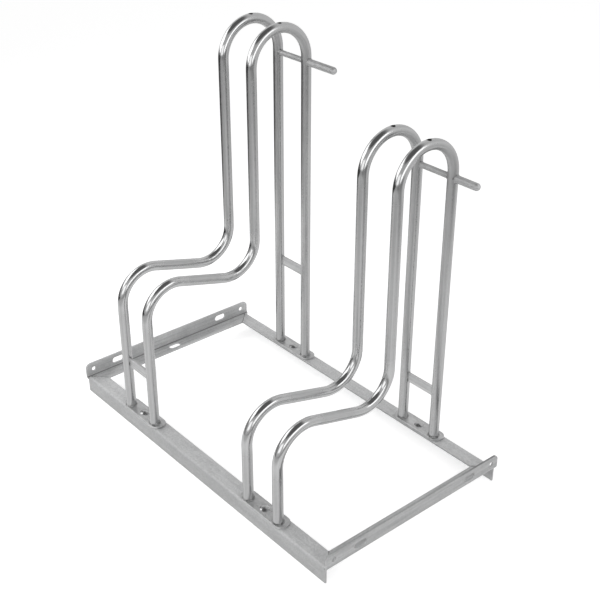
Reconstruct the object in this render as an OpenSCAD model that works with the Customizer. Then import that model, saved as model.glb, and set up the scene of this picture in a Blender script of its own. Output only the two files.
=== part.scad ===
/* [Base frame] */
// Overall length of the base frame along the row of bicycles
frame_len = 696; // [600:1:1200]
// Depth of the base frame over the outer faces of the two rails
frame_depth = 385; // [360:1:460]
// Leg of the equal angle that the rails and the side bars are cut from
angle_leg = 30; // [26:0.5:36]
// Thickness of the angle
angle_t = 3; // [2:0.25:4]
// Inner radius of the bend of the angle
bend_in_r = 2.5; // [1.5:0.25:3.5]
// How far a side bar runs past the outer face of each rail
side_overrun = 2; // [0.5:0.25:6]
// Distance from the outer face of a side bar to the end of each rail below it
rail_end_in = 4; // [1:0.25:8]
// Radius of the top corners at the ends of a side bar
side_corner_r = 10; // [4:0.5:14]

/* [Fixing holes of the side bars] */
// Diameter of the round holes near the ends of a side bar
link_hole_d = 9; // [6:0.25:11]
// Distance from a round hole to the outer face of the nearest rail
link_hole_in = 14; // [10:0.5:24]
// Length of each slot over its round ends
slot_len = 25; // [18:0.5:34]
// Width of each slot
slot_w = 12; // [7:0.25:13]
// Distance from the middle of an upright slot to the outer face of the nearest rail
slot_in = 68.5; // [56:0.5:100]
// Distance from the back of a leg of the side bar to the line of its holes and slots
gauge = 16; // [14:0.25:18]

/* [Hoops] */
// Outer diameter of the hoop tube
tube_d = 18; // [14:0.5:21]
// Wall of the hoop tube
tube_wall = 2; // [1.2:0.1:3]
// Distance between the centre lines of the two hoops of a pair
pair_pitch = 76.5; // [64:0.5:86]
// Distance between the middle of the high pair and the middle of the low pair
place_pitch = 350; // [300:1:500]
// Distance from the left end of the frame to the middle of the high pair
tall_in = 178; // [120:1:180]
// Overall height of the high hoops above the ground
tall_height = 706; // [640:1:800]
// Overall height of the low hoops above the ground
low_height = 604; // [560:1:630]
// Distance from the outer face of the front rail to the front legs
front_leg_in = 11; // [10.5:0.25:15]
// Distance from the outer face of the rear rail to the rear legs
rear_leg_in = 17.5; // [12:0.25:19]
// Radius of the arch at the top, on the centre line of the tube
arch_r = 60; // [45:0.5:66]
// Radius of the two bends of the wheel saddle, on the centre line of the tube
saddle_r = 57; // [40:0.5:60]
// Slope of the straight run of the saddle in degrees
saddle_slope = 15.5; // [8:0.5:20]
// Height from the top of the front leg to the centre of the arch
saddle_drop = 394; // [330:1:410]
// Diameter of the drain hole in the crown of each arch
vent_d = 6; // [3:0.25:8]

/* [Foot plates] */
// Length of a foot plate over its round ends
plate_len = 112; // [106:1:130]
// Width of a foot plate
plate_w = 28.5; // [26:0.5:30]
// Thickness of a foot plate
plate_t = 4; // [3:0.25:6]

/* [Cross bars and rods] */
// Height of the flat bars between two legs
bar_h = 18; // [12:0.5:26]
// Thickness of the flat bars between two legs
bar_t = 4; // [2.5:0.25:6]
// Height of the middle of the flat bar between the high front legs
tall_front_bar_z = 131; // [70:1:190]
// Height of the middle of the flat bar between the high rear legs
tall_rear_bar_z = 218; // [80:1:400]
// Height of the middle of the flat bar between the low rear legs
low_rear_bar_z = 123; // [70:1:300]
// Diameter of the rod between two rear legs
rod_d = 10; // [6:0.5:14]
// Distance from the lower end of an arch down to the middle of its rod
rod_below = 8.5; // [7.5:0.5:60]
// Diameter of the round ended stub on the outer side of the right leg
stub_d = 13; // [8:0.5:15]
// Length of the high stub from the centre line of its leg
tall_stub_len = 76; // [30:1:110]
// Length of the low stub from the centre line of its leg
low_stub_len = 55; // [30:1:110]

/* [Bolts] */
// Diameter of the bolts that hold the foot plates
bolt_d = 8; // [5:0.5:10]
// Diameter of the domed head of a bolt
head_d = 17.5; // [14:0.5:24]
// Height of the domed head of a bolt
head_h = 3.5; // [2.5:0.1:6]
// Height of the upright rim of the head
head_rim = 0.8; // [0.4:0.1:1.5]
// Width of a nut across its flats
nut_flats = 13; // [12.5:0.5:16]
// Height of a nut
nut_h = 6.5; // [3:0.1:8]
// How far a bolt runs past its nut
bolt_tail = 2.5; // [1:0.25:4]

/* [Hidden] */
$fn = 64;

// Overrun of every cut
cut = 1;
// Space that a weld fills between two curved faces
weld_gap = 0.3;
// Space round a bolt in its hole
bolt_play = 0.5;
// Space between a bolt and the thread of its nut
thread_play = 0.3;
// How much thinner the tube is drawn between the two bends of the saddle
draw_down = 0.1;
// How far the drawn run laps into each of the two bends
draw_lap = 0.5;
// Finish of the angle, of the tube and bar, and of the plates and bolts
angle_grey = "#a8aaac";
tube_grey = "#b4b6b8";
plate_grey = "#9ea0a2";

// Outer radius of the bend of the angle, which is also where the flat of a leg starts
bend_out_r = bend_in_r + angle_t;
// Bottom of the side bars, which share the level of the top legs of the rails
side_base_z = angle_leg - angle_t;
// Top faces of the rails and of the foot plates
rail_top = angle_leg;
foot_top = rail_top + plate_t;

// Outer face of the front rail, and the ends of the side bars
front_y = -frame_depth / 2;
side_reach = frame_depth / 2 + side_overrun;

// Centre lines of the legs, and of the foot plates along the middle of each rail
front_leg_y = front_y + front_leg_in;
rear_leg_y = -front_y - rear_leg_in;
leg_span = rear_leg_y - front_leg_y;
foot_y = frame_depth / 2 - angle_leg / 2;
// Middles of the two pairs of hoops
tall_x = tall_in - frame_len / 2;
low_x = tall_x + place_pitch;

// Run of the upright behind the wheel, measured from the front leg
upright_run = leg_span - 2 * arch_r;
// Level run and length of the straight part of the saddle
slope_run = upright_run - 2 * saddle_r * (1 + sin(saddle_slope));
slope_len = slope_run / cos(saddle_slope);
// Rise from the start of the front bend to the end of the rear bend
saddle_rise = 2 * saddle_r * cos(saddle_slope) - slope_run * tan(saddle_slope);
// Turn of each bend of the saddle
saddle_turn = 90 + saddle_slope;
// Heights of the lower ends of the arches
tall_arch_z = tall_height - tube_d / 2 - arch_r;
low_arch_z = low_height - tube_d / 2 - arch_r;

// Equal angle section with its outer corner at the origin
module angle_section() {
    translate([bend_out_r, 0]) square([angle_leg - bend_out_r, angle_t]);
    translate([0, bend_out_r]) square([angle_t, angle_leg - bend_out_r]);
    intersection() {
        square(bend_out_r);
        translate([bend_out_r, bend_out_r]) difference() {
            circle(r = bend_out_r);
            circle(r = bend_in_r);
        }
    }
}

// Section pushed along X, with the first leg along Y and the second leg along Z
module angle_bar(len) {
    translate([-len / 2, 0, 0]) rotate([90, 0, 90]) linear_extrude(len) angle_section();
}

// Rail with its outer face at Y zero, mitred above into the side bars and cut square below them
module rail() {
    rail_half = frame_len / 2 - rail_end_in;
    mitre_half = frame_len / 2 - bend_out_r;
    inner_half = frame_len / 2 - angle_leg;
    difference() {
        intersection() {
            translate([0, 0, rail_top]) mirror([0, 0, 1]) angle_bar(2 * rail_half);
            union() {
                translate([-rail_half, 0, 0]) cube([2 * rail_half, angle_leg, side_base_z]);
                linear_extrude(rail_top) polygon([
                    [-mitre_half, 0], [mitre_half, 0], [mitre_half, bend_out_r], [inner_half, angle_leg],
                    [-inner_half, angle_leg], [-mitre_half, bend_out_r]
                ]);
            }
        }
        for (x = [tall_x, low_x]) {
            translate([x, angle_leg / 2, side_base_z - cut])
                cylinder(h = angle_t + 2 * cut, d = bolt_d + 2 * bolt_play);
        }
    }
}

module front_rail() {
    color(angle_grey) translate([0, front_y, 0]) rail();
}

module rear_rail() {
    color(angle_grey) translate([0, -front_y, 0]) mirror([0, 1, 0]) rail();
}

// Slot along Y, cut along Z through a leg of the angle
module slot_cut() {
    run = slot_len - slot_w;
    translate([0, 0, -cut]) {
        for (side = [-1, 1]) translate([0, side * run / 2, 0]) cylinder(h = angle_t + 2 * cut, d = slot_w);
        translate([-slot_w / 2, -run / 2, 0]) cube([slot_w, run, angle_t + 2 * cut]);
    }
}

// Upright leg seen from the side, with its two top corners rounded
module side_outline() {
    round_y = side_reach - side_corner_r;
    translate([-side_reach, 0]) square([2 * side_reach, angle_leg - side_corner_r]);
    translate([-round_y, 0]) square([2 * round_y, angle_leg]);
    for (side = [-1, 1]) translate([side * round_y, angle_leg - side_corner_r]) circle(r = side_corner_r);
}

// Side bar with its outer face at X zero, its upright leg outside and its flat leg inward along X
module side_bar() {
    half = frame_depth / 2;
    difference() {
        intersection() {
            translate([0, side_reach, 0]) rotate([90, 0, 0]) linear_extrude(2 * side_reach) angle_section();
            linear_extrude(angle_leg) polygon([
                [0, -side_reach], [bend_out_r, -side_reach], [bend_out_r, bend_out_r - half],
                [angle_leg, angle_leg - half], [angle_leg, half - angle_leg],
                [bend_out_r, half - bend_out_r], [bend_out_r, side_reach], [0, side_reach]
            ]);
            rotate([90, 0, 90]) linear_extrude(angle_leg) side_outline();
        }
        for (side = [-1, 1]) {
            translate([-cut, side * (half - link_hole_in), gauge])
                rotate([0, 90, 0]) cylinder(h = angle_t + 2 * cut, d = link_hole_d);
            translate([0, side * (half - slot_in), gauge]) rotate([0, 90, 0]) slot_cut();
        }
        translate([gauge, 0, 0]) slot_cut();
    }
}

module left_side_bar() {
    color(angle_grey) translate([-frame_len / 2, 0, side_base_z]) side_bar();
}

module right_side_bar() {
    color(angle_grey) translate([frame_len / 2, 0, side_base_z]) mirror([1, 0, 0]) side_bar();
}

// Bend in the plane of a hoop, from one angle to another, measured from the back toward the top
module bend(d, r, from, turn) {
    rotate([90, 0, 90]) rotate_extrude(angle = turn, start = from) translate([r, 0]) circle(d = d);
}

// Round bar along the centre line of a hoop, from its front foot over the saddle and the arch
module hoop_run(d, foot_z, arch_z) {
    bend_z = arch_z - saddle_drop;
    upright_z = bend_z + saddle_rise;
    translate([0, 0, foot_z]) cylinder(h = bend_z - foot_z, d = d);
    translate([0, saddle_r, bend_z]) {
        bend(d, saddle_r, 180 - saddle_turn, saddle_turn);
        rotate([-saddle_turn, 0, 0]) translate([0, -saddle_r, -draw_lap])
            cylinder(h = slope_len + 2 * draw_lap, d = d - draw_down);
    }
    translate([0, upright_run - saddle_r, upright_z]) bend(d, saddle_r, -saddle_turn, saddle_turn);
    translate([0, upright_run, upright_z]) cylinder(h = arch_z - upright_z, d = d);
    translate([0, upright_run + arch_r, arch_z]) bend(d, arch_r, 0, 180);
    translate([0, leg_span, foot_z]) cylinder(h = arch_z - foot_z, d = d);
}

// Hoop bent from one tube, open at its two feet and drilled in its crown
module hoop(x, arch_z) {
    color(tube_grey) translate([x, front_leg_y, 0]) difference() {
        hoop_run(tube_d, foot_top, arch_z);
        hoop_run(tube_d - 2 * tube_wall, foot_top - cut, arch_z);
        translate([0, upright_run + arch_r, arch_z + arch_r]) cylinder(h = tube_d, d = vent_d);
    }
}

module tall_left_hoop() {
    hoop(tall_x - pair_pitch / 2, tall_arch_z);
}

module tall_right_hoop() {
    hoop(tall_x + pair_pitch / 2, tall_arch_z);
}

module low_left_hoop() {
    hoop(low_x - pair_pitch / 2, low_arch_z);
}

module low_right_hoop() {
    hoop(low_x + pair_pitch / 2, low_arch_z);
}

// Oblong plate with round ends under the two feet of a pair, drilled for its bolt
module foot_plate(x, y) {
    run = plate_len - plate_w;
    color(plate_grey) translate([x, y, rail_top]) difference() {
        linear_extrude(plate_t) {
            square([run, plate_w], center = true);
            for (side = [-1, 1]) translate([side * run / 2, 0]) circle(d = plate_w);
        }
        translate([0, 0, -cut]) cylinder(h = plate_t + 2 * cut, d = bolt_d + 2 * bolt_play);
    }
}

module tall_front_foot_plate() {
    foot_plate(tall_x, -foot_y);
}

module tall_rear_foot_plate() {
    foot_plate(tall_x, foot_y);
}

module low_front_foot_plate() {
    foot_plate(low_x, -foot_y);
}

module low_rear_foot_plate() {
    foot_plate(low_x, foot_y);
}

// Round of a leg with the space for its weld, which the bars and rods are hollowed to
module leg_cope(z, h) {
    translate([0, 0, z - h / 2 - cut]) cylinder(h = h + 2 * cut, d = tube_d + 2 * weld_gap);
}

// Flat bar between the two legs of a pair
module cross_bar(x, y, z) {
    color(tube_grey) translate([x, y, 0]) difference() {
        translate([0, 0, z]) cube([pair_pitch, bar_t, bar_h], center = true);
        for (side = [-1, 1]) translate([side * pair_pitch / 2, 0, 0]) leg_cope(z, bar_h);
    }
}

module tall_front_cross_bar() {
    cross_bar(tall_x, front_leg_y, tall_front_bar_z);
}

module tall_rear_cross_bar() {
    cross_bar(tall_x, rear_leg_y, tall_rear_bar_z);
}

module low_rear_cross_bar() {
    cross_bar(low_x, rear_leg_y, low_rear_bar_z);
}

// Round rod between the two rear legs of a pair
module back_rod(x, arch_z) {
    z = arch_z - rod_below;
    color(tube_grey) translate([x, rear_leg_y, 0]) difference() {
        translate([-pair_pitch / 2, 0, z]) rotate([0, 90, 0]) cylinder(h = pair_pitch, d = rod_d);
        for (side = [-1, 1]) translate([side * pair_pitch / 2, 0, 0]) leg_cope(z, rod_d);
    }
}

module tall_back_rod() {
    back_rod(tall_x, tall_arch_z);
}

module low_back_rod() {
    back_rod(low_x, low_arch_z);
}

// Thicker round stub in line with the rod, on the outer side of the right leg, with a domed end
module rod_stub(x, arch_z, len) {
    z = arch_z - rod_below;
    color(plate_grey) translate([x + pair_pitch / 2, rear_leg_y, 0]) difference() {
        translate([0, 0, z]) rotate([0, 90, 0]) rotate_extrude() {
            square([stub_d / 2, len - stub_d / 2]);
            translate([0, len - stub_d / 2]) intersection() {
                circle(d = stub_d);
                square(stub_d / 2);
            }
        }
        leg_cope(z, stub_d);
    }
}

module tall_rod_stub() {
    rod_stub(tall_x, tall_arch_z, tall_stub_len);
}

module low_rod_stub() {
    rod_stub(low_x, low_arch_z, low_stub_len);
}

// Places what it is given on the top face of each foot plate, over the bolt hole
module at_each_bolt() {
    for (x = [tall_x, low_x], y = [-foot_y, foot_y]) translate([x, y, foot_top]) children();
}

// Low domed head, with its flat underside at Z zero
module bolt_head() {
    dome_h = head_h - head_rim;
    dome_r = (head_d * head_d / 4 + dome_h * dome_h) / (2 * dome_h);
    rotate_extrude() {
        square([head_d / 2, head_rim]);
        translate([0, head_rim]) intersection() {
            translate([0, dome_h - dome_r]) circle(r = dome_r);
            square([head_d / 2, dome_h]);
        }
    }
}

module foot_bolts() {
    shank = plate_t + angle_t + nut_h + bolt_tail;
    color(plate_grey) at_each_bolt() {
        bolt_head();
        translate([0, 0, -shank]) cylinder(h = shank, d = bolt_d);
    }
}

module foot_nuts() {
    color(plate_grey) at_each_bolt() translate([0, 0, -plate_t - angle_t - nut_h]) difference() {
        cylinder(h = nut_h, d = nut_flats / cos(30), $fn = 6);
        translate([0, 0, -cut]) cylinder(h = nut_h + 2 * cut, d = bolt_d + 2 * thread_play);
    }
}

front_rail();
rear_rail();
left_side_bar();
right_side_bar();
tall_left_hoop();
tall_right_hoop();
low_left_hoop();
low_right_hoop();
tall_front_foot_plate();
tall_rear_foot_plate();
low_front_foot_plate();
low_rear_foot_plate();
tall_front_cross_bar();
tall_rear_cross_bar();
low_rear_cross_bar();
tall_back_rod();
low_back_rod();
tall_rod_stub();
low_rod_stub();
foot_bolts();
foot_nuts();
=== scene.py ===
import math

import bpy
from mathutils import Matrix, Vector


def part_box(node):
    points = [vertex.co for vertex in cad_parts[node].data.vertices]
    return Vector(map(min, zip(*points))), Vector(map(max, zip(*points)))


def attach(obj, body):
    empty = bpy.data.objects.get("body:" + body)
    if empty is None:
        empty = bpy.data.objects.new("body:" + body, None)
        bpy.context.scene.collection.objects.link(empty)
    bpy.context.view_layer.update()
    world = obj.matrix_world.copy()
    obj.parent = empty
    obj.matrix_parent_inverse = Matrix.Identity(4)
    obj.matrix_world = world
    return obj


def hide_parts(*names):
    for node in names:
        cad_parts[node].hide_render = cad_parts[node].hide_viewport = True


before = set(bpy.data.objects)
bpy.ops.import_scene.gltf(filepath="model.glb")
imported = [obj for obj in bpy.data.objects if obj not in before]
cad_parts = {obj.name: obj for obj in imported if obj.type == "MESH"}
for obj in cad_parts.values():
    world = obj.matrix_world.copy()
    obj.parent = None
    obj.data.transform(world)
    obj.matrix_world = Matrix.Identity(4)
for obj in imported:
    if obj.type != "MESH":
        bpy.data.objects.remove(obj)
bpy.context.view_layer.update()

# Front rail and rear rail. Each is a zinc coated length of cold formed steel angle, 30 x 30 x 3 mm.
# The top leg points inward and carries the foot plates, and the upright leg stands on the ground.
# Their ends are mitred into the side bars and welded there.


def wire(tree, value, socket):
    """Feeds a socket from an output, or else sets it to a constant."""
    if hasattr(value, "is_output"):
        tree.links.new(value, socket)
    else:
        socket.default_value = value


def add_node(tree, kind, settings=None, **values):
    node = tree.nodes.new(kind)
    for name, value in (settings or {}).items():
        setattr(node, name, value)
    for name, value in values.items():
        label = name.replace("_", " ")
        wire(tree, value, next(s for s in node.inputs if s.name == label and s.enabled))
    return node


def maths(tree, operation, *terms, kind="ShaderNodeMath"):
    """One step of arithmetic on values."""
    node = add_node(tree, kind, {"operation": operation})
    for socket, term in zip([s for s in node.inputs if s.enabled], terms):
        wire(tree, term, socket)
    return next(s for s in node.outputs if s.enabled)


def vectors(tree, operation, *terms):
    """One step of arithmetic on vectors or colours."""
    return maths(tree, operation, *terms, kind="ShaderNodeVectorMath")


def ramp(tree, value, over, gives=(0.0, 1.0)):
    """Goes from the first number of gives to the second one while the value crosses over."""
    return add_node(tree, "ShaderNodeMapRange", Value=value, From_Min=over[0], From_Max=over[1],
                    To_Min=gives[0], To_Max=gives[1]).outputs["Result"]


def mixed(tree, share, first, second):
    return add_node(tree, "ShaderNodeMix", Factor=share, A=first, B=second).outputs[0]


def mixed_colour(tree, share, first, second):
    return add_node(tree, "ShaderNodeMix", {"data_type": "RGBA"}, Factor=share,
                    A=first, B=second).outputs[2]


def grey(level):
    return (level, level, level, 1.0)


def coordinate(tree, label):
    return add_node(tree, "ShaderNodeTexCoord").outputs[label]


def axes(tree, vector):
    return add_node(tree, "ShaderNodeSeparateXYZ", Vector=vector).outputs


def upward(tree):
    """How far a face looks up: 1 on level upper faces, 0 on upright ones."""
    return axes(tree, coordinate(tree, "Normal"))[2]


def empty_group(name, kind, inputs, outputs):
    tree = bpy.data.node_groups.new(name, kind)
    for label, socket, value in inputs:
        made = tree.interface.new_socket(name=label, in_out="INPUT", socket_type=socket)
        if value is not None:
            made.default_value = value
    for label, socket in outputs:
        tree.interface.new_socket(name=label, in_out="OUTPUT", socket_type=socket)
    return tree, tree.nodes.new("NodeGroupInput"), tree.nodes.new("NodeGroupOutput")


# Soft cloudy patches and small crystals of a zinc coat
zinc_bloom, bloom_in, bloom_out = empty_group(
    "zinc_bloom", "ShaderNodeTree",
    [("Place", "NodeSocketVector", None), ("Cloud scale", "NodeSocketFloat", 30.0),
     ("Crystal scale", "NodeSocketFloat", 260.0), ("Crystal share", "NodeSocketFloat", 0.35)],
    [("Tone", "NodeSocketFloat"), ("Grain", "NodeSocketFloat")],
)
bloom_place = bloom_in.outputs["Place"]
cloud = add_node(zinc_bloom, "ShaderNodeTexNoise", Vector=bloom_place,
                 Scale=bloom_in.outputs["Cloud scale"], Detail=6.0, Roughness=0.62)
crystal = add_node(zinc_bloom, "ShaderNodeTexVoronoi", Vector=bloom_place,
                   Scale=bloom_in.outputs["Crystal scale"])
crystal_tone = add_node(zinc_bloom, "ShaderNodeSeparateColor", Color=crystal.outputs["Color"])
bloom_tone = mixed(zinc_bloom, bloom_in.outputs["Crystal share"],
                   cloud.outputs[0], crystal_tone.outputs[0])
fine = add_node(zinc_bloom, "ShaderNodeTexNoise", Vector=bloom_place, Scale=900.0, Detail=3.0)
wire(zinc_bloom, bloom_tone, bloom_out.inputs["Tone"])
wire(zinc_bloom, fine.outputs[0], bloom_out.inputs["Grain"])

# Long fine lines that rolling and drawing leave in steel
draw_lines, lines_in, lines_out = empty_group(
    "draw_lines", "ShaderNodeTree",
    [("Place", "NodeSocketVector", None), ("Stretch", "NodeSocketVector", (6.0, 300.0, 300.0))],
    [("Lines", "NodeSocketFloat"), ("Bands", "NodeSocketFloat")],
)
stretched = vectors(draw_lines, "MULTIPLY", lines_in.outputs["Place"], lines_in.outputs["Stretch"])
thin_lines = add_node(draw_lines, "ShaderNodeTexNoise", Vector=stretched,
                      Scale=1.0, Detail=4.0, Roughness=0.6)
wide_lines = add_node(draw_lines, "ShaderNodeTexNoise", Vector=stretched, Scale=0.32, Detail=1.0)
for noise, label in ((thin_lines, "Lines"), (wide_lines, "Bands")):
    spread = ramp(draw_lines, noise.outputs[0], over=(0.32, 0.68))
    wire(draw_lines, spread, lines_out.inputs[label])


def zinc_finish(name, dark, light, smooth, rough, stretch, lines_share=0.5, crystal_share=0.3,
                cloud_scale=30.0, crystal_scale=260.0, relief=0.00004, edge=0.0006, unbent=False):
    """Zinc coated steel: a tone from dark to light, and a roughness from smooth to rough."""
    material = bpy.data.materials.new(name)
    material.use_nodes = True
    tree = material.node_tree
    tree.nodes.clear()
    if unbent:
        place = add_node(tree, "ShaderNodeAttribute",
                         {"attribute_name": "unbent"}).outputs["Vector"]
    else:
        place = coordinate(tree, "Object")
    bloom = add_node(tree, "ShaderNodeGroup", {"node_tree": zinc_bloom}, Place=place,
                     Cloud_scale=cloud_scale, Crystal_scale=crystal_scale,
                     Crystal_share=crystal_share).outputs
    lines = add_node(tree, "ShaderNodeGroup", {"node_tree": draw_lines}, Place=place,
                     Stretch=stretch).outputs
    tone = ramp(tree, mixed(tree, lines_share, bloom["Tone"], lines["Lines"]), over=(0.25, 0.75))
    colour = mixed_colour(tree, tone, (*dark, 1.0), (*light, 1.0))
    shine = mixed(tree, 0.5, bloom["Tone"], lines["Bands"])
    height = mixed(tree, 0.5, bloom["Grain"], lines["Lines"])
    bump = add_node(tree, "ShaderNodeBump", Strength=0.5, Distance=relief, Height=height)
    metal = add_node(tree, "ShaderNodeBsdfPrincipled", Metallic=1.0, Normal=bump.outputs["Normal"],
                     Roughness=ramp(tree, shine, over=(0.2, 0.8), gives=(smooth, rough)))
    if edge > 0.0:
        # Edges are rounded by the rolls and the shears, and rubbed a little brighter
        rounded = add_node(tree, "ShaderNodeBevel", {"samples": 4}, Radius=edge).outputs[0]
        flat = add_node(tree, "ShaderNodeNewGeometry").outputs["Normal"]
        rub = ramp(tree, vectors(tree, "DOT_PRODUCT", rounded, flat),
                   over=(0.98, 0.80), gives=(0.0, 0.35))
        colour = mixed_colour(tree, rub, colour, (0.72, 0.725, 0.73, 1.0))
        wire(tree, rounded, bump.inputs["Normal"])
    wire(tree, colour, metal.inputs["Base Color"])
    add_node(tree, "ShaderNodeOutputMaterial", Surface=metal.outputs[0])
    return material


def metal_of(material):
    """Its node tree, its metal shader and the output that feeds the colour of that shader."""
    tree = material.node_tree
    metal = next(n for n in tree.nodes if n.type == "BSDF_PRINCIPLED")
    return tree, metal, metal.inputs["Base Color"].links[0].from_socket


def coat(material, *nodes):
    for name in nodes:
        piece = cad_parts[name]
        if not piece.material_slots:
            piece.data.materials.append(material)
        for material_slot in piece.material_slots:
            material_slot.material = material


rail_zinc = zinc_finish("rail_zinc", dark=(0.50, 0.503, 0.505), light=(0.62, 0.622, 0.624),
                        smooth=0.68, rough=0.84, stretch=(14.0, 170.0, 170.0), lines_share=0.2,
                        crystal_share=0.55, cloud_scale=40.0, crystal_scale=520.0, relief=0.00002)
# Painted light: its upper faces are painted brighter than the upright ones, as light falls from
# above
rail_tree, rail_metal, rail_tone = metal_of(rail_zinc)
rail_painted_top_light = ramp(rail_tree, upward(rail_tree), over=(0.2, 1.0), gives=(0.98, 1.27))
wire(rail_tree, vectors(rail_tree, "SCALE", rail_tone, rail_painted_top_light), rail_metal.inputs["Base Color"])
coat(rail_zinc, "front_rail", "rear_rail")

# Side bars. The same angle turned over, so that its outer leg stands up beside the frame.
# Their holes and slots are punched, and their top corners are sheared round.
side_zinc = zinc_finish("side_zinc", dark=(0.41, 0.413, 0.415), light=(0.58, 0.582, 0.584),
                        smooth=0.56, rough=0.72, stretch=(170.0, 7.0, 170.0), lines_share=0.4,
                        crystal_share=0.4, cloud_scale=40.0, crystal_scale=520.0, relief=0.00002)
side_tree, side_metal, side_tone = metal_of(side_zinc)
side_place = coordinate(side_tree, "Object")
side_axes = axes(side_tree, side_place)
side_low, side_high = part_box("right_side_bar")

# Painted shade: the fold between its two legs is painted dark, where shade falls
fold_from_outside = 0.0042
fold_from_below = 0.0036
fold = (side_high.x - fold_from_outside, 0.0, side_low.z + fold_from_below)
from_fold = vectors(side_tree, "SUBTRACT", vectors(side_tree, "ABSOLUTE", side_place), fold)
fold_far = vectors(side_tree, "LENGTH", vectors(side_tree, "MULTIPLY", from_fold, (1.0, 0.0, 1.0)))
painted_fold_shade = ramp(side_tree, fold_far, over=(0.0016, 0.0007), gives=(0.0, 0.75))
fold_shaded_tone = mixed_colour(side_tree, painted_fold_shade, side_tone, grey(0.12))

# Painted light: the left bar is painted lighter than the right one, and the upper faces of both
# bars are painted lighter than the upright ones, as the light falls
painted_left_light = ramp(side_tree, side_axes[0], over=(-0.3, 0.3), gives=(1.20, 1.04))
side_painted_top_light = ramp(side_tree, upward(side_tree), over=(0.2, 1.0), gives=(1.0, 1.18))
side_painted_light_scale = maths(side_tree, "MULTIPLY", painted_left_light, side_painted_top_light)
side_lit_tone = vectors(side_tree, "SCALE", fold_shaded_tone, side_painted_light_scale)

# Painted shade: the upper edge of the right bar is painted dark, most of all near its rear end
at_top = ramp(side_tree, side_axes[2], over=(side_high.z - 0.0009, side_high.z - 0.0003))
on_right = ramp(side_tree, side_axes[0], over=(0.0, 0.05))
rearward = ramp(side_tree, side_axes[1], over=(0.08, 0.145), gives=(0.12, 0.55))
painted_edge_shade = maths(side_tree, "MULTIPLY", maths(side_tree, "MULTIPLY", at_top, on_right), rearward)
edge_shaded_tone = mixed_colour(side_tree, painted_edge_shade, side_lit_tone, grey(0.10))
wire(side_tree, edge_shaded_tone, side_metal.inputs["Base Color"])
coat(side_zinc, "left_side_bar", "right_side_bar")

# Corner welds. A flat ground bead lies in each of the four mitres of the base frame.
# It is steel filler metal, laid by hand and brushed with zinc paint, and duller than the angle.


def modifier_input(tree, label):
    for item in tree.interface.items_tree:
        if item.item_type == "SOCKET" and item.in_out == "INPUT" and item.name == label:
            return item.identifier
    raise ValueError(label)


def path_mesh(name, paths, bends=None):
    """Loose edges along each path. A path is a list of points and whether it closes on itself."""
    points, edges = [], []
    for line, closed in paths:
        first = len(points)
        points += [tuple(p) for p in line]
        edges += [(first + i, first + i + 1) for i in range(len(line) - 1)]
        if closed:
            edges.append((first + len(line) - 1, first))
    mesh = bpy.data.meshes.new(name)
    mesh.from_pydata(points, edges, [])
    if bends is not None:
        mesh.attributes.new("bend", "FLOAT", "POINT").data.foreach_set("value", bends)
    return mesh


def grow(name, mesh, tree, values, finish=None):
    """Runs a tree on a path and gives back one plain mesh object."""
    piece = bpy.data.objects.new(name, mesh)
    bpy.context.scene.collection.objects.link(piece)
    form = piece.modifiers.new("form", "NODES")
    form.node_group = tree
    for label, value in values.items():
        form[modifier_input(tree, label)] = value
    if finish:
        finish(piece)
    bpy.context.view_layer.update()
    graph = bpy.context.evaluated_depsgraph_get()
    plain = bpy.data.meshes.new_from_object(
        piece.evaluated_get(graph), preserve_all_data_layers=True, depsgraph=graph)
    piece.modifiers.clear()
    piece.data = plain
    plain.name = name
    plain.set_sharp_from_angle(angle=math.radians(40))
    # A skin that came out inside out has a negative volume
    corners = [[plain.vertices[i].co for i in t.vertices] for t in plain.loop_triangles]
    if sum(a.dot(b.cross(c)) for a, b, c in corners) < 0:
        plain.flip_normals()
    return piece


def keep(tree, geometry, name, value, kind="FLOAT"):
    """Stores a value on the points of a geometry, under a name."""
    return add_node(tree, "GeometryNodeStoreNamedAttribute",
                    {"data_type": kind, "domain": "POINT"},
                    Geometry=geometry, Name=name, Value=value).outputs[0]


def kept(tree, name, kind="FLOAT"):
    return add_node(tree, "GeometryNodeInputNamedAttribute",
                    {"data_type": kind}, Name=name).outputs[0]


def measured_line(tree, path):
    """The path as a curve whose points know how far along it they lie."""
    curve = add_node(tree, "GeometryNodeMeshToCurve", Mesh=path).outputs[0]
    length = add_node(tree, "GeometryNodeSplineParameter").outputs["Length"]
    return keep(tree, curve, "along", length)


def close_tree(tree, skin, finish, socket):
    """The end of every tree here: smooth shading, real geometry, one material."""
    smooth = add_node(tree, "GeometryNodeSetShadeSmooth", Geometry=skin)
    real = add_node(tree, "GeometryNodeRealizeInstances", Geometry=smooth.outputs[0])
    coated = add_node(tree, "GeometryNodeSetMaterial", Geometry=real.outputs[0], Material=finish)
    wire(tree, coated.outputs[0], socket)


weld_bead, bead_in, bead_out = empty_group(
    "weld_bead", "GeometryNodeTree",
    [("Path", "NodeSocketGeometry", None), ("Bead radius", "NodeSocketFloat", 0.001),
     ("Ripple length", "NodeSocketFloat", 0.0025), ("Ripple depth", "NodeSocketFloat", 0.0001),
     ("Lump depth", "NodeSocketFloat", 0.0004), ("Finish", "NodeSocketMaterial", None)],
    [("Bead", "NodeSocketGeometry")],
)
seam = measured_line(weld_bead, bead_in.outputs["Path"])
bead_round = add_node(weld_bead, "GeometryNodeCurvePrimitiveCircle", Resolution=10,
                      Radius=bead_in.outputs["Bead radius"])
bead_skin = add_node(weld_bead, "GeometryNodeCurveToMesh", Curve=seam,
                     Profile_Curve=bead_round.outputs[0], Fill_Caps=True)
turns = maths(weld_bead, "DIVIDE", kept(weld_bead, "along"), bead_in.outputs["Ripple length"])
wave = maths(weld_bead, "SINE", maths(weld_bead, "MULTIPLY", turns, 2 * math.pi))
ripple = maths(weld_bead, "MULTIPLY", wave, bead_in.outputs["Ripple depth"])
lump_noise = add_node(weld_bead, "ShaderNodeTexNoise", Scale=260.0, Detail=2.0)
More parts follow.
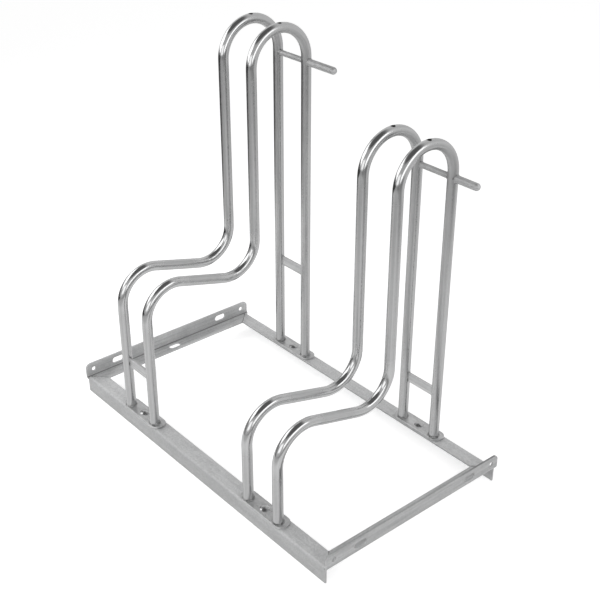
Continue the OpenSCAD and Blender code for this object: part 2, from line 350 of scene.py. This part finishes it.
lump_middle = maths(weld_bead, "SUBTRACT", lump_noise.outputs[0], 0.5)
swell = maths(weld_bead, "MULTIPLY_ADD", lump_middle, bead_in.outputs["Lump depth"], ripple)
outward = add_node(weld_bead, "GeometryNodeInputNormal").outputs[0]
uneven = add_node(weld_bead, "GeometryNodeSetPosition", Geometry=bead_skin.outputs[0],
                  Offset=vectors(weld_bead, "SCALE", outward, swell))
close_tree(weld_bead, uneven.outputs[0], bead_in.outputs["Finish"], bead_out.inputs["Bead"])

weld_zinc = zinc_finish("weld_zinc", dark=(0.13, 0.131, 0.132), light=(0.52, 0.52, 0.52),
                        smooth=0.30, rough=0.60, stretch=(160.0, 160.0, 160.0), lines_share=0.3,
                        crystal_share=0.5, cloud_scale=180.0, relief=0.00012, edge=0.0)


def straight(start, end, step=0.0008):
    start, end = Vector(start), Vector(end)
    count = max(2, round((end - start).length / step))
    return [start.lerp(end, i / count) for i in range(count + 1)]


def weld(name, paths, radius, ripple=0.0001, lumps=0.0004):
    piece = grow(name, path_mesh(name, paths), weld_bead, {
        "Bead radius": radius, "Ripple depth": ripple, "Lump depth": lumps, "Finish": weld_zinc})
    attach(piece, "root")


frame_back, rail_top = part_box("rear_rail")[1].yz
side_outer = side_high.x
angle_leg = 0.030
angle_round = 0.0055
bead_sunk = 0.0003
mitre_z = rail_top - bead_sunk
mitres = []
for side in (-1, 1):
    for end in (-1, 1):
        outer, inner = [
            (side * (side_outer - inset), end * (frame_back - inset), mitre_z)
            for inset in (angle_round, angle_leg)
        ]
        mitres.append((straight(outer, inner), False))
weld("corner_welds", mitres, radius=0.0009, ripple=0.00005, lumps=0.0004)

# Foot plates. Stamped oblong plates, 4 mm thick, with a round bolt hole in the middle.
# Each is welded under two feet of a pair of hoops and bolted on the top leg of a rail.
plate_zinc = zinc_finish("plate_zinc", dark=(0.40, 0.402, 0.404), light=(0.62, 0.622, 0.624),
                         smooth=0.26, rough=0.44, stretch=(40.0, 200.0, 200.0), lines_share=0.35,
                         cloud_scale=70.0, edge=0.0009)
coat(plate_zinc, "tall_front_foot_plate", "tall_rear_foot_plate",
     "low_front_foot_plate", "low_rear_foot_plate")

# Wheel hoops. Each is one 18 mm tube, bent twice for the saddle of the wheel and once for the arch.
# The straights keep a satin zinc skin with drawing lines, and the bending tool burnishes the bends.
# A drain hole is drilled in each crown, and both feet are welded on the foot plates.
tube_d = 0.018
tube_wall = 0.002
tube_sides = 40
pair_pitch = 0.0765
front_leg_y, rear_leg_y = -0.1815, 0.175
tall_x, low_x = -0.170, 0.180
foot_top = 0.034
arch_r, saddle_r = 0.060, 0.057
saddle_slope = math.radians(15.5)
saddle_drop = 0.394
tall_arch_z, low_arch_z = 0.637, 0.535
vent_d = 0.006
vent_sides = 32

bent_tube, tube_in, tube_out = empty_group(
    "bent_tube", "GeometryNodeTree",
    [("Path", "NodeSocketGeometry", None), ("Tube diameter", "NodeSocketFloat", 0.018),
     ("Sides", "NodeSocketInt", 40), ("Finish", "NodeSocketMaterial", None)],
    [("Tube", "NodeSocketGeometry")],
)
tube_line = measured_line(bent_tube, tube_in.outputs["Path"])
tube_round = add_node(bent_tube, "GeometryNodeCurvePrimitiveCircle",
                      Resolution=tube_in.outputs["Sides"],
                      Radius=maths(bent_tube, "MULTIPLY", tube_in.outputs["Tube diameter"], 0.5))
ring = keep(bent_tube, tube_round.outputs[0], "ring",
            add_node(bent_tube, "GeometryNodeInputPosition").outputs[0], "FLOAT_VECTOR")
tube_skin = add_node(bent_tube, "GeometryNodeCurveToMesh", Curve=tube_line, Profile_Curve=ring)
# Each point also keeps its place on the tube as it was before bending, for the drawing lines
ring_axes = axes(bent_tube, kept(bent_tube, "ring", "FLOAT_VECTOR"))
unbent_place = add_node(bent_tube, "ShaderNodeCombineXYZ", X=ring_axes[0], Y=ring_axes[1],
                        Z=kept(bent_tube, "along"))
tube_marked = keep(bent_tube, tube_skin.outputs[0], "unbent", unbent_place.outputs[0],
                   "FLOAT_VECTOR")
close_tree(bent_tube, tube_marked, tube_in.outputs["Finish"], tube_out.inputs["Tube"])

satin_smooth, satin_rough = 0.23, 0.31
burnished_smooth, burnished_rough = 0.115, 0.155
tube_zinc = zinc_finish("tube_zinc", dark=(0.39, 0.392, 0.394), light=(0.54, 0.542, 0.544),
                        smooth=satin_smooth, rough=satin_rough, stretch=(240.0, 240.0, 2.0),
                        lines_share=0.6, crystal_share=0.12, cloud_scale=14.0, relief=0.00001,
                        edge=0.0, unbent=True)
# The bends are burnished: brighter and smoother than the straights. Past the crown of the arch the
# bend value runs on below 0, where the tool has roughened the tube
tube_tree, tube_metal, satin_tone = metal_of(tube_zinc)
bend_mask = add_node(tube_tree, "ShaderNodeAttribute", {"attribute_name": "bend"}).outputs["Fac"]
satin = tube_metal.inputs["Roughness"].links[0].from_socket
burnish = ramp(tube_tree, satin, over=(satin_smooth, satin_rough),
               gives=(burnished_smooth, burnished_rough))
both_rough = add_node(tube_tree, "ShaderNodeMix", {"clamp_factor": False}, Factor=bend_mask,
                      A=satin, B=burnish)
wire(tube_tree, both_rough.outputs[0], tube_metal.inputs["Roughness"])
bend_tone = mixed_colour(tube_tree, 0.4, satin_tone, (0.58, 0.582, 0.584, 1.0))
both_tone = mixed_colour(tube_tree, bend_mask, satin_tone, bend_tone)

# Painted shade: a dark ring is painted round each drain hole, so that the hole reads darker. The
# four holes are folded onto one
hole_shade_edge = vent_d / 2 + 0.0019
hole_shade_core = vent_d / 2 + 0.0011
row_middle = (tall_x + low_x) / 2
crown_y = rear_leg_y - arch_r
tube_axes = axes(tube_tree, coordinate(tube_tree, "Object"))
across_hole = tube_axes[0]
for fold_x in (row_middle, (low_x - tall_x) / 2, pair_pitch / 2):
    across_hole = maths(tube_tree, "ABSOLUTE", maths(tube_tree, "SUBTRACT", across_hole, fold_x))
along_hole = maths(tube_tree, "SUBTRACT", tube_axes[1], crown_y)
off_centre = add_node(tube_tree, "ShaderNodeCombineXYZ", X=across_hole, Y=along_hole).outputs[0]
near_hole = ramp(tube_tree, vectors(tube_tree, "LENGTH", off_centre), over=(hole_shade_edge, hole_shade_core))
on_top = ramp(tube_tree, upward(tube_tree), over=(0.2, 0.4))
painted_hole_shade = maths(tube_tree, "MULTIPLY", near_hole, on_top)
hole_shaded_tone = mixed_colour(tube_tree, painted_hole_shade, both_tone, grey(0.02))
wire(tube_tree, hole_shaded_tone, tube_metal.inputs["Base Color"])

# Painted shade: inside, the tube is painted nearly black for the shade in the bore, which shows
# through the drain hole
bore_shade = bpy.data.materials.new("bore_shade")
bore_shade.use_nodes = True
bore_tree = bore_shade.node_tree
bore_tree.nodes.clear()
bore_cloud = add_node(bore_tree, "ShaderNodeTexNoise", Vector=coordinate(bore_tree, "Object"),
                      Scale=400.0, Detail=4.0)
bore_tone = mixed_colour(bore_tree, bore_cloud.outputs[0], grey(0.003), grey(0.010))
bore_matt = add_node(bore_tree, "ShaderNodeBsdfPrincipled", Base_Color=bore_tone, Roughness=0.9,
                     Specular_IOR_Level=0.1)
add_node(bore_tree, "ShaderNodeOutputMaterial", Surface=bore_matt.outputs[0])


def arc(centre_y, centre_z, radius, start, end, step=2.5):
    count = max(2, round(abs(end - start) / step))
    turned = [math.radians(start + (end - start) * i / count) for i in range(count + 1)]
    return [(centre_y + radius * math.cos(a), centre_z + radius * math.sin(a)) for a in turned]


def leg_run(start, end, fade=0.018, step=0.008):
    """Points of a straight, with a short fade of the burnished zone at either end."""
    length = math.dist(start, end)
    inner = length - 2 * fade
    count = max(1, round(inner / step))
    shares = [0.0] + [(fade + inner * i / count) / length for i in range(count + 1)] + [1.0]
    return [(start[0] + (end[0] - start[0]) * s, start[1] + (end[1] - start[1]) * s)
            for s in shares]


def hoop_line(x, arch_z):
    """The middle line of a hoop, and how far each of its points is burnished."""
    leg_span = rear_leg_y - front_leg_y
    upright = leg_span - 2 * arch_r
    slope = math.degrees(saddle_slope)
    slope_run = upright - 2 * saddle_r * (1 + math.sin(saddle_slope))
    rise = 2 * saddle_r * math.cos(saddle_slope) - slope_run * math.tan(saddle_slope)
    bend_z = arch_z - saddle_drop
    upright_z = bend_z + rise
    front = arc(saddle_r, bend_z, saddle_r, 180, 90 - slope)
    back = arc(upright - saddle_r, upright_z, saddle_r, -90 - slope, 0)
    crown = arc(upright + arch_r, arch_z, arch_r, 180, 0)
    # The arch is burnished where its bend starts, and rough from the crown on
    shine_start, shine_fall = 2.0, 3.6
    last = len(crown) - 1
    crown_shine = [max(-1.0, min(1.0, shine_start - shine_fall * i / last))
                   for i in range(last + 1)]
    runs = [
        (leg_run((0, foot_top), (0, bend_z)), 0), (front, 1), (leg_run(front[-1], back[0]), 0),
        (back, 1), (leg_run((upright, upright_z), (upright, arch_z)), 0), (crown, crown_shine),
        (leg_run((leg_span, arch_z), (leg_span, foot_top)), 0),
    ]
    points, bends = [], []
    for run, burnished in runs:
        skipped = 1 if points else 0
        points += run[skipped:]
        shine = burnished if isinstance(burnished, list) else [float(burnished)] * len(run)
        bends += shine[skipped:]
    # The last point of a straight before a bend already belongs to the burnished zone
    bends = [max(b, bends[i + 1]) if i + 1 < len(bends) and b >= 0 else b
             for i, b in enumerate(bends)]
    return [(x, front_leg_y + y, z) for y, z in points], bends


def vent_drill(x, arch_z):
    """An upright round bar that cuts the drain hole and gives its wall the painted shade of the
    bore.
    """
    low, high = arch_z + arch_r, arch_z + arch_r + tube_d
    turned = [2 * math.pi * i / vent_sides for i in range(vent_sides)]
    points = [(x + vent_d / 2 * math.cos(a), crown_y + vent_d / 2 * math.sin(a), z)
              for z in (low, high) for a in turned]
    faces = [tuple(reversed(range(vent_sides))), tuple(range(vent_sides, 2 * vent_sides))]
    for i in range(vent_sides):
        after = (i + 1) % vent_sides
        faces.append((i, after, vent_sides + after, vent_sides + i))
    mesh = bpy.data.meshes.new("drill")
    mesh.from_pydata(points, [], faces)
    for finish in (tube_zinc, bore_shade):
        mesh.materials.append(finish)
    mesh.polygons.foreach_set("material_index", [1] * len(faces))
    drill = bpy.data.objects.new("drill", mesh)
    bpy.context.scene.collection.objects.link(drill)
    return drill


def hoop(name, x, arch_z):
    line, bends = hoop_line(x, arch_z)
    drill = vent_drill(x, arch_z)

    def hollow_and_drill(piece):
        # The wall can count its inner faces one material on only if the path has two
        for finish in (tube_zinc, bore_shade):
            piece.data.materials.append(finish)
        wall = piece.modifiers.new("wall", "SOLIDIFY")
        wall.thickness = tube_wall
        wall.offset = 1.0 if tube_turned_in else -1.0
        wall.use_even_offset = True
        wall.material_offset = 1
        wall.material_offset_rim = 1
        vent = piece.modifiers.new("vent", "BOOLEAN")
        vent.operation = "DIFFERENCE"
        vent.solver = "EXACT"
        vent.object = drill

    piece = grow(name, path_mesh(name, [(line, False)], bends), bent_tube,
                 {"Tube diameter": tube_d, "Sides": tube_sides, "Finish": tube_zinc},
                 hollow_and_drill)
    drill_mesh = drill.data
    bpy.data.objects.remove(drill)
    bpy.data.meshes.remove(drill_mesh)
    # The tree leaves one material on the mesh, and the faces of the bore ask for the second
    piece.data.materials.append(bore_shade)
    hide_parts(name)
    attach(piece, "root")


# Which way round the swept skin comes out is read once from a short test length
probe_line = path_mesh("probe", [([(0, 0, 0), (0, 0, 0.02)], False)], [0.0, 0.0])
probe = grow("probe", probe_line, bent_tube,
             {"Tube diameter": tube_d, "Sides": 8, "Finish": tube_zinc})
probe_face = probe.data.polygons[0]
probe_out = Vector((probe_face.center.x, probe_face.center.y, 0))
tube_turned_in = probe_face.normal.dot(probe_out) < 0
bpy.data.objects.remove(probe)

hoop("tall_left_hoop", tall_x - pair_pitch / 2, tall_arch_z)
hoop("tall_right_hoop", tall_x + pair_pitch / 2, tall_arch_z)
hoop("low_left_hoop", low_x - pair_pitch / 2, low_arch_z)
hoop("low_right_hoop", low_x + pair_pitch / 2, low_arch_z)

# Foot welds. A bead runs round each of the eight feet, between the tube and its plate.
# It is laid by hand before the hoops are plated, so it is lumpy under the zinc.


def ring_path(x, y, z, radius, count=72):
    turned = [2 * math.pi * i / count for i in range(count)]
    return [(x + radius * math.cos(a), y + radius * math.sin(a), z) for a in turned]


foot_bead_off = 0.0004
foot_rings = [
    (ring_path(x + side * pair_pitch / 2, y, foot_top + foot_bead_off,
               tube_d / 2 + foot_bead_off), True)
    for x in (tall_x, low_x) for side in (-1, 1) for y in (front_leg_y, rear_leg_y)
]
weld("foot_welds", foot_rings, radius=0.0012, ripple=0.00012, lumps=0.0009)

# Cross bars. Short flat bars, 18 x 4 mm, cut to the round of the legs and welded between them.
# The high pair has one at the front and one at the rear, the low pair has one at the rear.
bar_zinc = zinc_finish("bar_zinc", dark=(0.42, 0.422, 0.424), light=(0.62, 0.622, 0.624),
                       smooth=0.28, rough=0.44, stretch=(9.0, 260.0, 260.0), lines_share=0.5,
                       cloud_scale=60.0, edge=0.0005)
coat(bar_zinc, "tall_front_cross_bar", "tall_rear_cross_bar", "low_rear_cross_bar")
bar_seams = []
for bar, x, y in (("tall_front_cross_bar", tall_x, front_leg_y),
                  ("tall_rear_cross_bar", tall_x, rear_leg_y),
                  ("low_rear_cross_bar", low_x, rear_leg_y)):
    bar_low, bar_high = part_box(bar)
    for face_y in (bar_low.y, bar_high.y):
        reach = math.sqrt((tube_d / 2) ** 2 - (face_y - y) ** 2)
        for side in (-1, 1):
            seam_x = x + side * (pair_pitch / 2 - reach)
            bar_seams.append(
                (straight((seam_x, face_y, bar_low.z), (seam_x, face_y, bar_high.z)), False))
weld("bar_welds", bar_seams, radius=0.0010, ripple=0.0001, lumps=0.0007)

# Back rods and stubs. A round rod, 10 mm thick, ties the rear legs of a pair below the arches.
# In line with it a round bar, 13 mm thick, stands out from the right leg with a domed free end.
rod_zinc = zinc_finish("rod_zinc", dark=(0.46, 0.462, 0.464), light=(0.64, 0.642, 0.644),
                       smooth=0.68, rough=0.80, stretch=(7.0, 300.0, 300.0), lines_share=0.4,
                       cloud_scale=60.0, edge=0.0)
coat(rod_zinc, "tall_back_rod", "low_back_rod")
stub_zinc = zinc_finish("stub_zinc", dark=(0.47, 0.472, 0.474), light=(0.64, 0.642, 0.644),
                        smooth=0.56, rough=0.70, stretch=(14.0, 220.0, 220.0), lines_share=0.4,
                        cloud_scale=80.0, edge=0.0)
coat(stub_zinc, "tall_rod_stub", "low_rod_stub")


def saddle_ring(leg_x, side, z, radius, count=64):
    """The line where a round bar along X meets the round of an upright leg."""
    line = []
    for i in range(count):
        turned = 2 * math.pi * i / count
        off = radius * math.sin(turned)
        reach = math.sqrt((tube_d / 2) ** 2 - off * off)
        line.append((leg_x + side * reach, rear_leg_y + off, z + radius * math.cos(turned)))
    return line, True


def bar_round(node):
    """Height of the middle and radius of a round bar that lies along X."""
    low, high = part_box(node)
    return (low.z + high.z) / 2, (high.z - low.z) / 2


rod_rings, stub_rings = [], []
for rod, stub, x in (("tall_back_rod", "tall_rod_stub", tall_x),
                     ("low_back_rod", "low_rod_stub", low_x)):
    rod_z, rod_r = bar_round(rod)
    stub_r = bar_round(stub)[1]
    rod_rings.append(saddle_ring(x - pair_pitch / 2, 1, rod_z, rod_r))
    rod_rings.append(saddle_ring(x + pair_pitch / 2, -1, rod_z, rod_r))
    stub_rings.append(saddle_ring(x + pair_pitch / 2, 1, rod_z, stub_r))
weld("rod_welds", rod_rings, radius=0.0012, ripple=0.0001, lumps=0.0007)
weld("stub_welds", stub_rings, radius=0.0011, ripple=0.0001, lumps=0.0008)

# Bolts and nuts. Four bolts with low domed heads hold the foot plates, with a nut under each rail.
# The heads are turned and bright, so their rings mirror the light in wedges. The nuts are duller.
nut_zinc = zinc_finish("nut_zinc", dark=(0.38, 0.382, 0.384), light=(0.58, 0.58, 0.58),
                       smooth=0.28, rough=0.42, stretch=(120.0, 120.0, 120.0), lines_share=0.3,
                       cloud_scale=150.0, edge=0.0004)
coat(nut_zinc, "foot_nuts")
bolt_zinc = zinc_finish("bolt_zinc", dark=(0.36, 0.362, 0.364), light=(0.52, 0.522, 0.524),
                        smooth=0.11, rough=0.17, stretch=(150.0, 150.0, 150.0), lines_share=0.3,
                        cloud_scale=150.0, edge=0.0)
bolt_tree, bolt_metal, _ = metal_of(bolt_zinc)
bolt_axes = axes(bolt_tree, coordinate(bolt_tree, "Object"))
bolt_low, bolt_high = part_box("foot_bolts")
head_d = 0.0175
from_axis = []
for i in range(2):
    # Distance from the axis of the nearest bolt, along one direction
    half_span = (bolt_high[i] - bolt_low[i]) / 2
    from_middle = maths(bolt_tree, "SUBTRACT", bolt_axes[i], (bolt_low[i] + bolt_high[i]) / 2)
    own_axis = maths(bolt_tree, "MULTIPLY", maths(bolt_tree, "SIGN", from_middle),
                     half_span - head_d / 2)
    from_axis.append(maths(bolt_tree, "SUBTRACT", from_middle, own_axis))
around = add_node(bolt_tree, "ShaderNodeCombineXYZ",
                  X=maths(bolt_tree, "MULTIPLY", from_axis[1], -1.0), Y=from_axis[0])
tangent = vectors(bolt_tree, "NORMALIZE", around.outputs[0])
bolt_metal.inputs["Anisotropic"].default_value = 0.3
wire(bolt_tree, tangent, bolt_metal.inputs["Tangent"])
coat(bolt_zinc, "foot_bolts")

# Studio. A pale floor that keeps a soft shadow, a pale room and three soft boxes round the rack.
# The white sheet under the rack ends to the left, to the right and in front of it, so that bright
# steel mirrors a darker studio between the sheet and the boxes. The camera sees only white.


def mirror_rays(tree, rays):
    """1 for rays that come from a mirror or glass."""
    return maths(tree, "MAXIMUM", rays["Is Glossy Ray"], rays["Is Transmission Ray"])


floor_paint = bpy.data.materials.new("floor_paint")
floor_paint.use_nodes = True
floor_tree = floor_paint.node_tree
floor_tree.nodes.clear()
floor_rays = add_node(floor_tree, "ShaderNodeLightPath").outputs
floor_mirrored = mirror_rays(floor_tree, floor_rays)
floor_axes = axes(floor_tree, coordinate(floor_tree, "Object"))
left_end = ramp(floor_tree, floor_axes[0], over=(-0.80, -1.00))
right_end = ramp(floor_tree, floor_axes[0], over=(0.98, 1.15), gives=(0.0, 0.65))
front_end = ramp(floor_tree, floor_axes[1], over=(-0.45, -0.80), gives=(0.0, 0.38))
sheet_end = maths(floor_tree, "MAXIMUM", maths(floor_tree, "MAXIMUM", left_end, right_end),
                  front_end)
before_backdrop = ramp(floor_tree, floor_axes[1], over=(0.9, 0.3))
beyond = maths(floor_tree, "MULTIPLY", sheet_end, before_backdrop)
beyond_seen = maths(floor_tree, "MULTIPLY", beyond, floor_mirrored)
sheet_white, studio_floor = grey(0.86), grey(0.12)
floor_tone = mixed_colour(floor_tree, beyond_seen, sheet_white, studio_floor)
floor_matt = add_node(floor_tree, "ShaderNodeBsdfDiffuse", Color=floor_tone)
# The lift takes the sheet to white for the camera, and brightens it less for mirrors
camera_lift, sheet_lift = 0.55, 0.31
mirror_lift = maths(floor_tree, "MULTIPLY", floor_mirrored,
                    ramp(floor_tree, beyond, over=(0.0, 1.0), gives=(sheet_lift, 0.0)))
floor_lift = maths(floor_tree, "MULTIPLY_ADD", floor_rays["Is Camera Ray"], camera_lift,
                   mirror_lift)
floor_glow = add_node(floor_tree, "ShaderNodeEmission", Color=grey(1.0), Strength=floor_lift)
floor_both = add_node(floor_tree, "ShaderNodeAddShader")
wire(floor_tree, floor_matt.outputs[0], floor_both.inputs[0])
wire(floor_tree, floor_glow.outputs[0], floor_both.inputs[1])
add_node(floor_tree, "ShaderNodeOutputMaterial", Surface=floor_both.outputs[0])
floor_reach = 7.0
floor_mesh = bpy.data.meshes.new("floor")
floor_mesh.from_pydata([(-floor_reach, -floor_reach, 0), (floor_reach, -floor_reach, 0),
                        (floor_reach, floor_reach, 0), (-floor_reach, floor_reach, 0)],
                       [], [(0, 1, 2, 3)])
floor_mesh.materials.append(floor_paint)
floor = bpy.data.objects.new("floor", floor_mesh)
bpy.context.scene.collection.objects.link(floor)

world = bpy.data.worlds.new("studio")
bpy.context.scene.world = world
world.use_nodes = True
sky = world.node_tree
sky.nodes.clear()
# A mirror sees the pale backdrop behind the rack, a darker studio in front of it and a dim ceiling
front_wall, backdrop, left_corner_wall, ceiling_level = 0.65, 0.85, 0.4, 0.15
sky_rays = add_node(sky, "ShaderNodeLightPath").outputs
sky_mirrored = mirror_rays(sky, sky_rays)
look = axes(sky, coordinate(sky, "Generated"))
walls = ramp(sky, look[1], over=(-0.3, 0.2), gives=(front_wall, backdrop))
to_left = ramp(sky, look[0], over=(-0.35, -0.65))
to_front = ramp(sky, look[1], over=(0.2, -0.1))
side_walls = mixed(sky, maths(sky, "MULTIPLY", to_left, to_front), walls, left_corner_wall)
overhead = ramp(sky, look[2], over=(0.70, 0.80))
off_backdrop = ramp(sky, look[1], over=(0.44, 0.26))
room = mixed(sky, maths(sky, "MULTIPLY", overhead, off_backdrop), side_walls, ceiling_level)
seen_room = add_node(sky, "ShaderNodeBackground", Color=grey(1.0),
                     Strength=mixed(sky, sky_mirrored, 1.0, room))
soft_fill = add_node(sky, "ShaderNodeBackground", Color=grey(1.0), Strength=0.5)
sky_mix = add_node(sky, "ShaderNodeMixShader")
wire(sky, maths(sky, "MAXIMUM", sky_rays["Is Camera Ray"], sky_mirrored), sky_mix.inputs[0])
wire(sky, soft_fill.outputs[0], sky_mix.inputs[1])
wire(sky, seen_room.outputs[0], sky_mix.inputs[2])
add_node(sky, "ShaderNodeOutputWorld", Surface=sky_mix.outputs[0])

for lamp_name, place, aim, roll, size, watts in (
    ("soft_box_left", (-1.00, -0.68, 1.14), (-0.10, 0.0, 0.77), 0, (1.5, 0.95), 8.8),
    ("soft_box_right", (1.72, -0.15, 1.22), (0.0, 0.0, 0.45), 26, (2.7, 0.7), 8.8),
    ("soft_box_front", (0.45, -2.0, 0.95), (0.0, 0.0, 0.4), 0, (1.5, 0.9), 5.0),
):
    lamp = bpy.data.lights.new(lamp_name, "AREA")
    lamp.shape = "RECTANGLE"
    lamp.size, lamp.size_y = size
    lamp.energy = watts
    box = bpy.data.objects.new(lamp_name, lamp)
    bpy.context.scene.collection.objects.link(box)
    turn = (Vector(aim) - Vector(place)).to_track_quat("-Z", "Y").to_matrix().to_4x4()
    rolled = Matrix.Rotation(math.radians(roll), 4, "Z")
    box.matrix_world = Matrix.Translation(place) @ turn @ rolled
    box.visible_camera = False

lens = bpy.data.cameras.new("camera")
lens.sensor_fit = "HORIZONTAL"
lens.sensor_width = 36.0
lens.lens = 65.568
lens.shift_x, lens.shift_y = -0.00023, 0.00065
camera = bpy.data.objects.new("camera", lens)
bpy.context.scene.collection.objects.link(camera)
camera_place = (1.2613, -1.0241, 1.1932)
camera_turn, camera_dip, camera_roll = 49.59, 29.42, 0.075
camera.matrix_world = (
    Matrix.Translation(camera_place)
    @ Matrix.Rotation(math.radians(camera_turn), 4, "Z")
    @ Matrix.Rotation(math.radians(90 - camera_dip), 4, "X")
    @ Matrix.Rotation(math.radians(camera_roll), 4, "Z")
)
bpy.context.scene.camera = camera
bpy.context.scene.view_settings.view_transform = "Standard"
